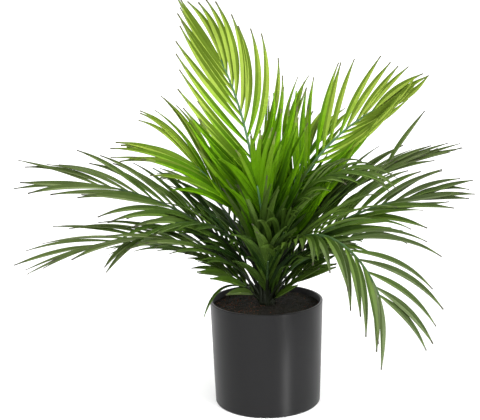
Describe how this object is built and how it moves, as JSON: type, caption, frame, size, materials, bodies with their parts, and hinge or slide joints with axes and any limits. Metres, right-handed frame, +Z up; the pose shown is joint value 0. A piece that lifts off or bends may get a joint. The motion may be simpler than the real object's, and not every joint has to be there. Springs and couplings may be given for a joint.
{
  "type": "artificial potted areca palm",
  "caption": "Artificial areca palm: feathery plastic fronds arch out of a short stem in a plain, slightly tapered round pot filled to just under its rim.",
  "frame": {"origin": "middle of the pot's flat underside, on the surface that the plant stands on", "axes": "+Z up along the pot's axis, -Y towards the front that the picture shows, +X to the right as seen from the front"},
  "size_m": [0.5031, 0.4452, 0.4656],
  "materials": {
    "pot_plastic": "satin dark grey moulded plastic",
    "filling_grain": "rough dark brown grains, glued down",
    "stem_plastic": "dull green brown moulded plastic",
    "leaf_young": "soft yellow green foliage",
    "leaf_middle": "soft mid green foliage",
    "leaf_old": "soft dark green foliage"
  },
  "bodies": {
    "root": {"pot": "pot_plastic", "filling": "filling_grain", "stem": "stem_plastic", "frond_tall_left": "leaf_young", "frond_tall_right": "leaf_young", "frond_young_left": "leaf_young", "frond_young_front": "leaf_young", "frond_young_back": "leaf_young", "frond_wide_left": "leaf_old", "frond_low_left": "leaf_old", "frond_hanging_left": "leaf_old", "frond_foot_left": "leaf_middle", "frond_trailing_left": "leaf_middle", "frond_wide_right": "leaf_old", "frond_low_right": "leaf_middle", "frond_hanging_right": "leaf_middle", "frond_inner_right": "leaf_old", "frond_foot_right": "leaf_middle", "frond_front_right": "leaf_old", "frond_front_left": "leaf_old", "frond_front_low": "leaf_old", "frond_front_side": "leaf_old", "frond_middle_back": "leaf_young", "frond_back_right": "leaf_old", "frond_back_left": "leaf_old", "frond_back_middle": "leaf_old", "frond_back_low_left": "leaf_middle", "frond_back_low_right": "leaf_middle"}
  },
  "joints": []
}
